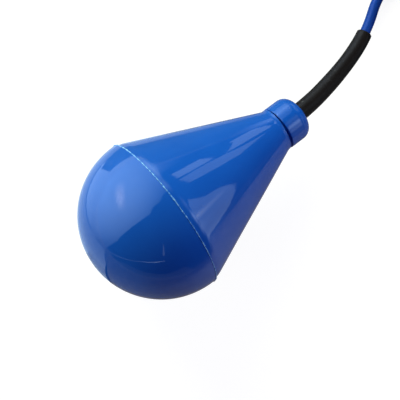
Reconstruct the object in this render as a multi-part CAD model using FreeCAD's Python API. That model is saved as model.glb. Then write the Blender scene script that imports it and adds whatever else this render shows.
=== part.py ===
import FreeCAD, Part
import math
import os

# Float level switch: a pear-shaped blue float on a length of blue cable. Inside, a steel ball rolls in
# a short race and works the lever of a snap-action switch as the float tips up and down.
#
# Millimetres. Each piece of the float is drawn about the float's own axis: +Z runs from the centre of
# the round nose to the gland nut. The float is then laid down on its rim, with the axis dipping towards
# the gland, so that in the finished part +X runs from nose to gland and +Z is up. The cable is drawn
# where it lies. Heights along the float's axis end in _z.

Vector = FreeCAD.Vector

# --- float shell ---------------------------------------------------------------------------------
nose_radius = 50.0
shell_wall = 3.0
rim_z = 1.4                  # end face of the nose half
bead_proud = 0.3             # weld bead round the rim
bead_height = 0.8
shoulder_step = 1.0          # the cone half starts this much inside the rim
shoulder_height = 2.7
shoulder_rounding = 1.0
cone_height = 84.2
cone_top_radius = 14.2
cone_top_blend = 5.0
top_band_height = 1.5
top_face_slant = 4.2         # degrees; the band was cut off out of square
offcut_height = 4.0          # of the slice cut off the band, more than it needs
offcut_radius = 28.0
spigot_height = 4.0          # ring on the nose half that centres the cone half
spigot_wall = 1.8
spigot_clearance = 0.1
spigot_root = 8.0            # the ring thickens into the shell over this depth
rib_z = 60.0                 # ring inside the cone that the switch capsule bears on
rib_height = 3.0
rib_bore_radius = 12.0
throat_length = 6.2          # between the cone's hollow and the seal
throat_radius = 4.0
dip = 13.0                   # degrees; how far the axis dips when the float lies down

# --- gland ---------------------------------------------------------------------------------------
neck_radius = 11.4
neck_length = 11.9
neck_rounding = 0.5
neck_thread_clearance = 0.1
seal_pocket_radius = 7.0
seal_pocket_depth = 11.5     # from the neck's end
cable_joint_depth = 2.0      # into the seal, where the cable outside starts
nut_gap = 0.2                # least gap under the nut
nut_radius = 14.3
nut_length = 16.5
nut_rounding = 7.0
nut_edge_rounding = 0.4
nut_bore_radius = 6.0
washer_thickness = 1.2
washer_radius = 11.0
boot_flange_thickness = 1.8
boot_flange_radius = 10.5
boot_radius = 5.8            # at the nut
boot_tip_radius = 4.6
boot_length = 70.0           # outside the nut
boot_sections = 12

# --- cable ---------------------------------------------------------------------------------------
cable_radius = 3.4
gland_clearance = 0.1        # round the cable where a hard piece lets it through
core_radius = 1.15
core_spread = 1.35           # from the cable's axis to a core's
first_core_angle = 90.0      # at the free end
core_count = 3
core_end_length = 25.0
ferrule_radius = 0.75
ferrule_length = 8.0
ferrule_funnel = 2.0
arc_share = 0.45             # of the shorter run beside a bend, taken up by the bend

# The cable's route, from the gland to the coil, as it lies: chosen points.
cable_straight_out = 6.5     # past the nut, before the first bend
cable_route = [
    (108.0, 4.6, 17.7),
    (130.5, 10.9, 12.2),
    (148.5, 18.6, 7.6),
    (164.2, 29.5, 3.4),
    (191.0, 38.3, 3.4),
]
# The rest of the cable is put away in a coil beside the float.
coil_centre = (226.0, 0.0)
coil_mid_radius = 38.5
coil_columns = 3
coil_layers = 4
tie_thickness = 1.0
tie_width = 4.0
tie_angles = (40.0, 190.0, 285.0)
# The free end leaves the coil's top turn and lies beside the coil: chosen points.
tail_leaves_at = -20.0       # degrees round the coil
tail_route = [
    (258.0, -40.0, 21.5),
    (235.2, -57.6, 10.5),
    (201.9, -64.7, 3.4),
    (167.9, -65.9, 3.4),
]

# --- switch capsule ------------------------------------------------------------------------------
plate_thickness = 2.5
plate_clearance = 0.1
plate_hole_clearance = 0.2
capsule_radius = 19.4
capsule_wall = 2.2
capsule_end_wall = 2.5
capsule_flange_radius = 26.0
capsule_flange = 3.0
capsule_neck_radius = 8.0
capsule_neck_length = 10.0
capsule_neck_bore = 5.0
lid_thickness = 3.0
lid_spigot = 1.6
insert_clearance = 0.2       # between the capsule's bore and the pieces in it
o_ring_radius = 21.5
o_ring_section = 0.9
lid_screw_circle = 23.8
lid_screw_count = 4
lid_screw_angle = 45.0
lid_screw_radius = 1.25
lid_screw_head_radius = 2.2
lid_screw_head = 1.6
ballast_radius = 34.0
ballast_bore_radius = 22.0
ballast_height = 10.0
ballast_screw_circle = 30.0
ballast_screw_count = 3
ballast_screw_radius = 2.0
ballast_screw_head_radius = 3.5
ballast_screw_head = 2.4
ballast_screw_length = 8.0
screw_clearance = 0.05
potting_length = 10.0
sheath_reach = 1.5           # of the cable's sheath past the capsule's neck
grip_length = 5.0
grip_radius = 9.0
grip_screw_radius = 1.5

# --- ball and race -------------------------------------------------------------------------------
ball_radius = 6.0
ball_clearance = 0.3
ball_travel = 4.5
ball_offset = 9.0            # the race lies to one side of the axis
race_floor = 2.0
contact_gap = 0.15           # between pieces that bear on each other and move
lever_clearance = 0.3        # over the race's edge, with the lever down

# --- snap-action switch --------------------------------------------------------------------------
switch_length = 27.8
switch_height = 15.9
switch_thickness = 10.3
switch_wall = 1.5
cover_thickness = 1.2
lever_pin_offset = 12.0      # from the axis, on the far side from the ball
lever_pin_height = 2.0       # above the switch's top face
lever_pin_radius = 0.75
lever_pin_clearance = 0.05
lever_eye_radius = 1.3
lever_thickness = 0.5
lever_width = 6.0
lever_overhang = 5.0         # past the ball's line
lever_swing = 11.74          # degrees over the ball's travel
lug_thickness = 1.4
lug_gap = 0.3
lug_side = 1.5
plunger_offset = 3.6
plunger_radius = 1.5
plunger_clearance = 0.05
plunger_tip_rounding = 1.2
plunger_travel = 1.7
plunger_collar_radius = 2.3
plunger_collar = 1.0
collar_gap = 0.2
blade_depth = 12.0           # of the blade below the switch's top face, where it is at rest
blade_thickness = 0.3
blade_width = 4.0
blade_roll_radius = 0.5      # of the rolled end that the blade turns on
blade_pivot_offset = 9.0
blade_contact_offset = -9.0
blade_swing = 2.5            # degrees over the ball's travel
rivet_radius = 1.5
rivet_proud = 0.6
terminal_width = 4.8
terminal_thickness = 0.8
terminal_length = 6.4
contact_pad_length = 3.6
terminal_gap = 0.6           # between the closed terminal's leg and the open terminal's pad
boss_radius = 2.4
boss_offset = 11.1
boss_depth = 2.9
switch_screw_radius = 1.5
switch_screw_head_radius = 2.75
switch_screw_head = 2.0
switch_screw_bite = 6.0
core_straight = 4.0          # each inner core's straight ends

# --- sizes that follow -----------------------------------------------------------------------------
cone_base_radius = nose_radius - shoulder_step
cone_base_z = rim_z + shoulder_height
cone_top_z = cone_base_z + cone_height
cone_slope = (cone_base_radius - cone_top_radius) / cone_height
wall_across = shell_wall * math.hypot(1, cone_slope)     # the cone's wall, measured square to the axis
top_face_z = cone_top_z + top_band_height
slant_rise = cone_top_radius * math.tan(math.radians(top_face_slant))
nut_z = top_face_z + slant_rise + nut_gap
nut_end_z = nut_z + nut_length
neck_end_z = top_face_z + neck_length
seal_pocket_z = neck_end_z - seal_pocket_depth
throat_z = seal_pocket_z - throat_length
washer_z = neck_end_z
flange_z = washer_z + washer_thickness
lip_z = flange_z + boot_flange_thickness
spigot_end_z = rim_z + spigot_height
plate_z = spigot_end_z
plate_top_z = plate_z + plate_thickness
shell_bore_radius = cone_base_radius - shell_wall
capsule_bore = capsule_radius - capsule_wall
capsule_end_z = rib_z
capsule_floor_z = capsule_end_z - capsule_end_wall
neck_tip_z = capsule_end_z + capsule_neck_length
stripped_z = capsule_end_z - sheath_reach
flange_base_z = plate_z - capsule_flange
lid_z = flange_base_z - lid_thickness
race_z = flange_base_z + lid_spigot
race_floor_z = race_z + race_floor
ball_z = race_floor_z + contact_gap + ball_radius + ball_travel
lever_z = ball_z + ball_radius + contact_gap + lever_thickness / 2
switch_z = lever_z + lever_pin_height
switch_end_z = switch_z + switch_height
lever_reach = lever_pin_offset + ball_offset + lever_overhang
race_bore_radius = ball_radius + ball_clearance
race_edge = lever_pin_offset + ball_offset - math.sqrt(race_bore_radius ** 2 - (lever_width / 2) ** 2)
lever_dip = race_edge * math.sin(math.radians(lever_swing))      # of the lever over the race's edge
race_end_z = lever_z - lever_dip - lever_thickness / 2 - lever_clearance
insert_radius = capsule_bore - insert_clearance
switch_face = switch_thickness / 2
blade_z = switch_z + blade_depth
cable_start_z = seal_pocket_z + cable_joint_depth
cable_first_bend_z = nut_end_z + cable_straight_out
coil_base_z = tie_thickness


# --- drawing helpers -------------------------------------------------------------------------------
def line(start, end):
    return Part.LineSegment(start, end).toShape()


def rounded_path(points):
    """Straight runs joined by tangent arcs, as a wire, and the arcs' radii."""
    edges, radii, start = [], [], points[0]
    for before, corner, after in zip(points, points[1:], points[2:]):
        inward, onward = corner - before, after - corner
        half_turn = inward.getAngle(onward) / 2
        reach = arc_share * min(inward.Length, onward.Length)
        radius = reach / math.tan(half_turn)
        inward.normalize()
        onward.normalize()
        towards_centre = (onward - inward).normalize()
        enter, leave = corner - inward * reach, corner + onward * reach
        middle = corner + towards_centre * (radius / math.cos(half_turn) - radius)
        edges += [line(start, enter), Part.Arc(enter, middle, leave).toShape()]
        radii.append(round(radius, 1))
        start = leave
    edges.append(line(start, points[-1]))
    return Part.Wire(edges), radii


def tube(points, radius, name):
    """Round bar along the rounded path, and the path. Its bends and its volume against length are printed."""
    path, radii = rounded_path(points)
    section = Part.Wire(Part.makeCircle(radius, points[0], points[1] - points[0]))
    bar = path.makePipeShell([section], True, False)
    share = bar.Volume / (math.pi * radius ** 2 * path.Length)
    print(name, "length", round(path.Length, 1), "bend radii", radii, "volume share", round(share, 5))
    return bar, path


def outline(corners):
    """Closed wire through (radius, height) corners. A third value rounds that corner."""
    points = [Vector(corner[0], 0, corner[1]) for corner in corners]
    roundings = [corner[2] if len(corner) > 2 else 0 for corner in corners]
    edges, ends = [], []
    for index, corner in enumerate(points):
        before, after = points[index - 1], points[(index + 1) % len(points)]
        if not roundings[index]:
            ends.append((corner, corner))
            continue
        inward, onward = (corner - before).normalize(), (after - corner).normalize()
        half_turn = inward.getAngle(onward) / 2
        reach = roundings[index] * math.tan(half_turn)
        towards_centre = (onward - inward).normalize()
        middle = corner + towards_centre * (roundings[index] / math.cos(half_turn) - roundings[index])
        enter, leave = corner - inward * reach, corner + onward * reach
        edges.append(Part.Arc(enter, middle, leave).toShape())
        ends.append((enter, leave))
    for index, (enter, leave) in enumerate(ends):
        if (enter - ends[index - 1][1]).Length > 1e-6:
            edges.append(line(ends[index - 1][1], enter))
    return Part.Wire(Part.__sortEdges__(edges))


def turned(*corners):
    """Solid turned about the float's axis from (radius, height) or (radius, height, rounding)."""
    return Part.Face(outline(corners)).revolve(Vector(0, 0, 0), Vector(0, 0, 1), 360)


def ring(outer, inner, low, high):
    return turned((inner, low), (outer, low), (outer, high), (inner, high))


def rod(radius, low, high, x=0.0, y=0.0):
    return Part.makeCylinder(radius, high - low, Vector(x, y, low))


def cross_rod(radius, start, end, x, z):
    """Round bar along Y."""
    return Part.makeCylinder(radius, end - start, Vector(x, start, z), Vector(0, 1, 0))


def block(x, y, z):
    """Box between (low, high) pairs."""
    return Part.makeBox(x[1] - x[0], y[1] - y[0], z[1] - z[0], Vector(x[0], y[0], z[0]))


def on_circle(radius, count, start=0.0):
    angles = [math.radians(start + 360 * index / count) for index in range(count)]
    return [(radius * math.cos(angle), radius * math.sin(angle)) for angle in angles]


def cone_radius(z):
    """Outside radius of the cone at a height."""
    return cone_base_radius - cone_slope * (z - cone_base_z)


def hollow_radius(z):
    """Inside radius of the cone at a height."""
    return cone_radius(z) - wall_across


# --- float shell -----------------------------------------------------------------------------------
def nose_shell():
    """Half ball with a straight rim, a weld bead and a ring that centres the cone half."""
    inside = nose_radius - shell_wall
    ring_outer = shell_bore_radius - spigot_clearance
    ring_inner = ring_outer - spigot_wall
    root = (math.sqrt(inside ** 2 - spigot_root ** 2), -spigot_root)
    root_angle = math.asin(spigot_root / inside)
    mid_angle = (math.pi / 2 + root_angle) / 2
    bead_z = rim_z - bead_height

    def point(radius, z):
        return Vector(radius, 0, z)

    outer_mid = point(nose_radius * math.cos(math.pi / 4), -nose_radius * math.sin(math.pi / 4))
    inner_mid = point(inside * math.cos(mid_angle), -inside * math.sin(mid_angle))
    edges = [
        Part.Arc(point(0, -nose_radius), outer_mid, point(nose_radius, 0)).toShape(),
        line(point(nose_radius, 0), point(nose_radius, bead_z)),
        Part.Arc(point(nose_radius, bead_z), point(nose_radius + bead_proud, bead_z + bead_height / 2),
                 point(nose_radius, rim_z)).toShape(),
        line(point(nose_radius, rim_z), point(ring_outer, rim_z)),
        line(point(ring_outer, rim_z), point(ring_outer, spigot_end_z)),
        line(point(ring_outer, spigot_end_z), point(ring_inner, spigot_end_z)),
        line(point(ring_inner, spigot_end_z), point(ring_inner, 0)),
        line(point(ring_inner, 0), point(*root)),
        Part.Arc(point(*root), inner_mid, point(0, -inside)).toShape(),
        line(point(0, -inside), point(0, -nose_radius)),
    ]
    return Part.Face(Part.Wire(edges)).revolve(Vector(0, 0, 0), Vector(0, 0, 1), 360)


def cone_shell():
    """Cone half with its shoulder, seat for the plate, inner ring, throat and threaded neck."""
    shell = turned(
        (shell_bore_radius, rim_z), (cone_base_radius, rim_z), (cone_base_radius, cone_base_z, shoulder_rounding),
        (cone_top_radius, cone_top_z, cone_top_blend),
        (cone_top_radius, top_face_z + slant_rise), (neck_radius, top_face_z + slant_rise),
        (neck_radius, neck_end_z, neck_rounding), (seal_pocket_radius, neck_end_z),
        (seal_pocket_radius, seal_pocket_z),
        (throat_radius, seal_pocket_z), (throat_radius, throat_z), (hollow_radius(throat_z), throat_z),
        (hollow_radius(rib_z + rib_height), rib_z + rib_height),
        (rib_bore_radius, rib_z + rib_height), (rib_bore_radius, rib_z), (hollow_radius(rib_z), rib_z),
        (hollow_radius(plate_top_z), plate_top_z), (shell_bore_radius, plate_top_z),
    )
    return shell.cut(slanted_offcut())


def slanted_offcut():
    """What is cut off the top band: a slanted slice round the neck."""
    offcut = rod(offcut_radius, 0, offcut_height)
    offcut.rotate(Vector(0, 0, 0), Vector(1, 0, 0), top_face_slant)
    offcut.translate(Vector(0, 0, top_face_z))
    return offcut.cut(rod(neck_radius, cone_top_z, neck_end_z))


# --- gland -----------------------------------------------------------------------------------------
def gland_nut():
    thread = neck_radius + neck_thread_clearance
    return turned(
        (thread, nut_z), (nut_radius, nut_z, nut_edge_rounding), (nut_radius, nut_end_z, nut_rounding),
        (nut_bore_radius, nut_end_z), (nut_bore_radius, lip_z), (thread, lip_z),
    )


def thrust_washer():
    return ring(washer_radius, cable_radius + gland_clearance, washer_z, washer_z + washer_thickness)


def cable_seal():
    """Rubber bush squeezed between the washer and the step in the neck."""
    return ring(seal_pocket_radius, cable_radius, seal_pocket_z, neck_end_z)


def strain_relief_boot(path):
    """Rubber boot: a flange held in the nut and a long tapering sleeve that follows the cable."""
    mouth = nut_end_z - cable_start_z
    start = flange_z - cable_start_z
    stations = [(start, boot_radius), (mouth, boot_radius)]
    for index in range(1, boot_sections + 1):
        share = index / boot_sections
        radius = boot_radius + (boot_tip_radius - boot_radius) * share
        stations.append((mouth + boot_length * share, radius))
    sections = []
    for distance, radius in stations:
        section = Part.makeCircle(radius, Vector(0, 0, 0), Vector(1, 0, 0))
        section.Placement = along(path, distance)
        sections.append(Part.Wire(section))
    sleeve = Part.makeLoft(sections, True, False)
    flange = laid_down(rod(boot_flange_radius, flange_z, flange_z + boot_flange_thickness))
    return flange.fuse(sleeve).removeSplitter()


def along(path, distance):
    """Placement that far along a path, turning +X to the path's direction."""
    for edge in path.OrderedEdges:
        if distance <= edge.Length:
            break
        distance -= edge.Length
    parameter = edge.getParameterByLength(distance)
    turn = FreeCAD.Rotation(Vector(1, 0, 0), edge.tangentAt(parameter))
    return FreeCAD.Placement(edge.valueAt(parameter), turn)


# --- switch capsule --------------------------------------------------------------------------------
def lid_screw_places():
    return on_circle(lid_screw_circle, lid_screw_count, lid_screw_angle)


def ballast_screw_places():
    return on_circle(ballast_screw_circle, ballast_screw_count)


def holes(places, radius, low, high):
    return Part.makeCompound([rod(radius, low, high, x, y) for x, y in places])


def support_plate():
    """Disc clamped between the two halves of the float. The capsule and the ballast hang on it."""
    plate = ring(shell_bore_radius - plate_clearance, capsule_radius + plate_hole_clearance,
                 plate_z, plate_top_z)
    plate = plate.cut(holes(lid_screw_places(), lid_screw_radius + screw_clearance, plate_z, plate_top_z))
    return plate.cut(holes(ballast_screw_places(), ballast_screw_radius + screw_clearance,
                           plate_z, plate_top_z))


def ballast_ring():
    body = ring(ballast_radius, ballast_bore_radius, plate_top_z, plate_top_z + ballast_height)
    return body.cut(holes(ballast_screw_places(), ballast_screw_radius + screw_clearance,
                          plate_top_z, plate_z + ballast_screw_length))


def screws(places, radius, head_radius, head, seat_z, end_z):
    """Pan-head screws along the axis, heads towards the nose."""
    solids = []
    for x, y in places:
        shank = rod(radius, seat_z, end_z, x, y)
        solids.append(shank.fuse(rod(head_radius, seat_z - head, seat_z, x, y)).removeSplitter())
    return Part.makeCompound(solids)


def ballast_screws():
    return screws(ballast_screw_places(), ballast_screw_radius, ballast_screw_head_radius,
                  ballast_screw_head, plate_z, plate_z + ballast_screw_length)


def lid_screws():
    return screws(lid_screw_places(), lid_screw_radius, lid_screw_head_radius, lid_screw_head,
                  lid_z, plate_top_z)


def switch_capsule():
    """Cup with a bolted flange at the nose end and a hollow neck for the cable at the other."""
    cup = turned(
        (capsule_bore, flange_base_z), (capsule_flange_radius, flange_base_z),
        (capsule_flange_radius, plate_z), (capsule_radius, plate_z),
        (capsule_radius, capsule_end_z), (capsule_neck_radius, capsule_end_z),
        (capsule_neck_radius, neck_tip_z), (capsule_neck_bore, neck_tip_z),
        (capsule_neck_bore, capsule_floor_z), (capsule_bore, capsule_floor_z),
    )
    return cup.cut(holes(lid_screw_places(), lid_screw_radius + screw_clearance, flange_base_z, plate_z))


def capsule_lid():
    lid = turned(
        (0, lid_z), (capsule_flange_radius, lid_z), (capsule_flange_radius, flange_base_z),
        (insert_radius, flange_base_z), (insert_radius, race_z), (0, race_z),
    )
    lid = lid.cut(holes(lid_screw_places(), lid_screw_radius + screw_clearance, lid_z, flange_base_z))
    groove = ring(o_ring_radius + o_ring_section, o_ring_radius - o_ring_section,
                  flange_base_z - 2 * o_ring_section, flange_base_z)
    return lid.cut(groove)


def lid_o_ring():
    """Face seal between lid and flange, as squeezed: it fills the groove's depth."""
    return Part.makeTorus(o_ring_radius, o_ring_section, Vector(0, 0, flange_base_z - o_ring_section))


def potting_resin():
    """Resin that seals the cable into the capsule's neck."""
    return ring(capsule_neck_bore, cable_radius, neck_tip_z - potting_length, neck_tip_z)


def grip_ring():
    """Collar screwed to the cable inside the throat, so that a pull can't reach the switch."""
    collar = ring(grip_radius, cable_radius, throat_z - grip_length, throat_z)
    return collar.cut(cross_rod(grip_screw_radius, 0, grip_radius + 1, 0, throat_z - grip_length / 2))


def grip_screw():
    screw = cross_rod(grip_screw_radius, 0, grip_radius, 0, throat_z - grip_length / 2)
    return screw.cut(rod(cable_radius, throat_z - grip_length, throat_z))


# --- ball and race ---------------------------------------------------------------------------------
def ball_race():
    bore = rod(race_bore_radius, race_floor_z, race_end_z, -ball_offset)
    return rod(insert_radius, race_z, race_end_z).cut(bore)


def steel_ball():
    return Part.makeSphere(ball_radius, Vector(-ball_offset, 0, ball_z))


# --- snap-action switch ----------------------------------------------------------------------------
def boss_places():
    return [(-boss_offset, switch_z + boss_depth), (boss_offset, switch_z + boss_depth)]


def terminal_feet():
    """Where each terminal leaves the switch: its low side along X."""
    pad_edge = blade_contact_offset - contact_pad_length / 2
    return {
        "common": blade_pivot_offset + blade_roll_radius + contact_gap,
        "open": blade_contact_offset + contact_pad_length / 2 - terminal_thickness,
        "closed": pad_edge - terminal_gap - terminal_thickness,
    }


def terminal_leg(name, top_z):
    foot = terminal_feet()[name]
    return block((foot, foot + terminal_thickness), (-terminal_width / 2, terminal_width / 2),
                 (top_z, switch_end_z + terminal_length))


def terminal_common():
    return terminal_leg("common", blade_z - blade_thickness)


def open_pad_z():
    return blade_z + blade_thickness / 2 + rivet_proud + contact_gap


def closed_pad_z():
    reach = blade_pivot_offset - blade_contact_offset + rivet_radius
    rise = reach * math.tan(math.radians(blade_swing))
    return blade_z - blade_thickness / 2 - rivet_proud - rise - contact_gap


def contact_pad(name, low, high):
    foot = terminal_feet()[name]
    right = blade_contact_offset + contact_pad_length / 2
    return block((min(foot, right - contact_pad_length), right), (-terminal_width / 2, terminal_width / 2),
                 (low, high))


def terminal_open():
    """Contact below the blade, which the blade meets while the ball presses the lever."""
    top = open_pad_z()
    return contact_pad("open", top, top + terminal_thickness).fuse(terminal_leg("open", top)).removeSplitter()


def terminal_closed():
    """Contact above the blade, which the blade meets while the lever is free."""
    low = closed_pad_z()
    top = low - terminal_thickness
    return contact_pad("closed", top, low).fuse(terminal_leg("closed", top)).removeSplitter()


def switch_base():
    """Open box with two screw bosses, the plunger's hole, the lever's lugs and three terminal slots."""
    half = switch_length / 2
    inner_face = switch_face - cover_thickness
    body = block((-half, half), (-switch_face, inner_face), (switch_z, switch_end_z))
    cavity = block((-half + switch_wall, half - switch_wall), (-switch_face + switch_wall, inner_face),
                   (switch_z + switch_wall, switch_end_z - switch_wall))
    for x, z in boss_places():
        cavity = cavity.cut(cross_rod(boss_radius, -switch_face, switch_face, x, z))
    body = body.cut(cavity)
    for side in (-1, 1):
        near = side * (lever_width / 2 + lug_gap)
        far = near + side * lug_thickness
        lug = block((lever_pin_offset - lug_side, lever_pin_offset + lug_side),
                    (min(near, far), max(near, far)), (lever_z - lug_side, switch_z))
        body = body.fuse(lug)
    body = body.cut(cross_rod(lever_pin_radius, -switch_face, switch_face, lever_pin_offset, lever_z))
    body = body.cut(rod(plunger_radius + plunger_clearance, switch_z, switch_z + switch_wall,
                        plunger_offset))
    for name in terminal_feet():
        body = body.cut(terminal_leg(name, switch_end_z - switch_wall))
    return drilled(body).removeSplitter()


def drilled(body):
    """The switch's two screw holes."""
    for x, z in boss_places():
        body = body.cut(cross_rod(switch_screw_radius + screw_clearance, -switch_face - 1,
                                  switch_face + 1, x, z))
    return body


def switch_cover():
    half = switch_length / 2
    return drilled(block((-half, half), (switch_face - cover_thickness, switch_face),
                         (switch_z, switch_end_z)))


def lever_pin():
    reach = lever_width / 2 + lug_gap + lug_thickness
    return cross_rod(lever_pin_radius, -reach, reach, lever_pin_offset, lever_z)


def switch_lever():
    """Flat strip with a rolled eye round the pin."""
    half = lever_width / 2
    strip = block((lever_pin_offset - lever_reach, lever_pin_offset), (-half, half),
                  (lever_z - lever_thickness / 2, lever_z + lever_thickness / 2))
    strip = strip.fuse(cross_rod(lever_eye_radius, -half, half, lever_pin_offset, lever_z))
    return strip.cut(cross_rod(lever_pin_radius + lever_pin_clearance, -half - 1, half + 1,
                               lever_pin_offset, lever_z)).removeSplitter()


def switch_plunger():
    """Button with a round tip under the lever and a collar that keeps it in the switch."""
    tip_z = lever_z + lever_thickness / 2 + contact_gap
    end_z = blade_z - blade_thickness / 2 - contact_gap
    collar_z = switch_z + switch_wall + collar_gap + plunger_travel
    body = turned(
        (0, tip_z), (plunger_radius, tip_z, plunger_tip_rounding), (plunger_radius, collar_z),
        (plunger_collar_radius, collar_z), (plunger_collar_radius, collar_z + plunger_collar),
        (plunger_radius, collar_z + plunger_collar), (plunger_radius, end_z), (0, end_z),
    )
    body.translate(Vector(plunger_offset, 0, 0))
    return body


def snap_blade():
    """Spring strip from its rolled end at the common terminal to the moving contact."""
    half = blade_width / 2
    strip = block((blade_contact_offset, blade_pivot_offset), (-half, half),
                  (blade_z - blade_thickness / 2, blade_z + blade_thickness / 2))
    strip = strip.fuse(cross_rod(blade_roll_radius, -half, half, blade_pivot_offset, blade_z))
    reach = blade_thickness / 2 + rivet_proud
    rivet = rod(rivet_radius, blade_z - reach, blade_z + reach, blade_contact_offset)
    return strip.fuse(rivet).removeSplitter()


def switch_carrier():
    """Half-round block in the capsule that the switch is screwed to."""
    segment = rod(insert_radius, race_end_z, capsule_floor_z)
    keep = block((-insert_radius, insert_radius), (-insert_radius, -switch_face),
                 (race_end_z, capsule_floor_z))
    carrier = segment.common(keep).cut(rod(race_bore_radius, race_end_z, lever_z, -ball_offset))
    for x, z in boss_places():
        carrier = carrier.cut(cross_rod(switch_screw_radius + screw_clearance,
                                        -switch_face - switch_screw_bite, -switch_face, x, z))
    return carrier


def switch_screws():
    solids = []
    for x, z in boss_places():
        shank = cross_rod(switch_screw_radius, -switch_face - switch_screw_bite, switch_face, x, z)
        head = cross_rod(switch_screw_head_radius, switch_face, switch_face + switch_screw_head, x, z)
        solids.append(shank.fuse(head).removeSplitter())
    return Part.makeCompound(solids)


# --- cores inside the capsule ----------------------------------------------------------------------
def inner_core(index, name):
    """One core from the stripped cable to its terminal."""
    foot = terminal_feet()[name] + terminal_thickness / 2
    x, y = on_circle(core_spread, core_count)[index]
    low = switch_end_z + terminal_length
    points = [Vector(foot, y, low), Vector(foot, y, low + core_straight),
              Vector(x, y, stripped_z - core_straight), Vector(x, y, stripped_z)]
    return tube(points, core_radius, "inner core " + name)[0]


# --- cable outside the float -----------------------------------------------------------------------
def coil_turn_radius(column):
    """Radius of a turn's centreline; column 0 is the innermost."""
    return coil_mid_radius + (column - (coil_columns - 1) / 2) * 2 * cable_radius


def coil_outer_turn():
    return coil_turn_radius(coil_columns - 1)


def about_coil(radius, angle, z):
    """A point at that radius and angle in degrees round the coil."""
    turn = math.radians(angle)
    return Vector(coil_centre[0] + radius * math.cos(turn), coil_centre[1] + radius * math.sin(turn), z)


def cable_points():
    """From inside the seal, straight out of the nut, then down and along the floor to the coil."""
    points = [axis_point(cable_start_z), axis_point(cable_first_bend_z)]
    points += [Vector(*point) for point in cable_route]
    last = points[-1]
    away = Vector(last.x - coil_centre[0], last.y - coil_centre[1], 0)
    bearing = math.degrees(math.atan2(away.y, away.x))
    touch = bearing - math.degrees(math.acos(coil_outer_turn() / away.Length))
    points.append(about_coil(coil_outer_turn(), touch, coil_base_z + cable_radius))
    return points


def tail_points():
    top_turn_z = coil_base_z + (2 * coil_layers - 1) * cable_radius
    return ([about_coil(coil_outer_turn(), tail_leaves_at, top_turn_z)]
            + [Vector(*point) for point in tail_route])


def coil_section(grow):
    """Outline of the coil's section, grown on all sides, about the coil's own axis."""
    inner = coil_turn_radius(0) - cable_radius - grow
    outer = coil_outer_turn() + cable_radius + grow
    low, high = coil_base_z - grow, coil_base_z + 2 * coil_layers * cable_radius + grow
    rounding = cable_radius + grow
    return outline([(inner, low, rounding), (outer, low, rounding), (outer, high, rounding),
                    (inner, high, rounding)])


def about_coil_axis(face, start, angle):
    solid = face.revolve(Vector(0, 0, 0), Vector(0, 0, 1), angle)
    solid.rotate(Vector(0, 0, 0), Vector(0, 0, 1), start)
    solid.translate(Vector(coil_centre[0], coil_centre[1], 0))
    return solid


def cable_coil():
    return about_coil_axis(Part.Face(coil_section(0)), 0, 360)


def coil_ties():
    """Straps round the coil's section. The coil stands on them."""
    band = Part.Face(coil_section(tie_thickness)).cut(Part.Face(coil_section(0)))
    angle = math.degrees(tie_width / coil_mid_radius)
    return Part.makeCompound([about_coil_axis(band.Faces[0], start, angle) for start in tie_angles])


def free_end_frame():
    """The sheath's end, the direction it points and two directions across it."""
    points = tail_points()
    end, ahead = points[-1], (points[-1] - points[-2]).normalize()
    up = Vector(0, 0, 1)
    return end, ahead, up, ahead.cross(up)


def core_places():
    end, _, up, side = free_end_frame()
    return [end + up * y + side * x for x, y in on_circle(core_spread, core_count, first_core_angle)]


def end_core(index):
    ahead = free_end_frame()[1]
    return Part.makeCylinder(core_radius, core_end_length, core_places()[index], ahead)


def ferrule(index):
    """Crimped end sleeve with a small funnel."""
    ahead = free_end_frame()[1]
    start = core_places()[index] + ahead * core_end_length
    funnel = Part.makeCone(core_radius, ferrule_radius, ferrule_funnel, start, ahead)
    barrel = Part.makeCylinder(ferrule_radius, ferrule_length, start + ahead * ferrule_funnel, ahead)
    return funnel.fuse(barrel)


# --- laying the float down -------------------------------------------------------------------------
def resting_placement(pieces):
    """Tips the axis, sets the lowest point on the floor and centres the box over the origin."""
    tipped = Part.makeCompound(pieces)
    tipped.rotate(Vector(0, 0, 0), Vector(0, 1, 0), 90 + dip)
    box = tipped.optimalBoundingBox(False)
    shift = Vector(-(box.XMin + box.XMax) / 2, -(box.YMin + box.YMax) / 2, -box.ZMin)
    return FreeCAD.Placement(shift, FreeCAD.Rotation(Vector(0, 1, 0), 90 + dip))


def laid_down(shape):
    placed = shape.copy()
    placed.transformShape(resting.toMatrix())
    return placed


def axis_point(z):
    return resting.multVec(Vector(0, 0, z))


# --- the pieces ------------------------------------------------------------------------------------
resting = resting_placement([nose_shell(), cone_shell(), gland_nut()])
outer_cable, cable_path = tube(cable_points(), cable_radius, "cable")

in_float = {
    "nose_shell": nose_shell(),
    "cone_shell": cone_shell(),
    "gland_nut": gland_nut(),
    "thrust_washer": thrust_washer(),
    "cable_seal": cable_seal(),
    "inner_cable": rod(cable_radius, stripped_z, cable_start_z),
    "cable_grip_ring": grip_ring(),
    "cable_grip_screw": grip_screw(),
    "support_plate": support_plate(),
    "ballast_ring": ballast_ring(),
    "ballast_screws": ballast_screws(),
    "switch_capsule": switch_capsule(),
    "capsule_lid": capsule_lid(),
    "lid_screws": lid_screws(),
    "lid_o_ring": lid_o_ring(),
    "potting_resin": potting_resin(),
    "ball_race": ball_race(),
    "steel_ball": steel_ball(),
    "switch_carrier": switch_carrier(),
    "switch_base": switch_base(),
    "switch_cover": switch_cover(),
    "switch_screws": switch_screws(),
    "switch_plunger": switch_plunger(),
    "switch_lever": switch_lever(),
    "lever_pin": lever_pin(),
    "snap_blade": snap_blade(),
    "terminal_common": terminal_common(),
    "terminal_open": terminal_open(),
    "terminal_closed": terminal_closed(),
}
for core_index, core_name in enumerate(("common", "open", "closed")):
    in_float["inner_core_" + core_name] = inner_core(core_index, core_name)

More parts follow.
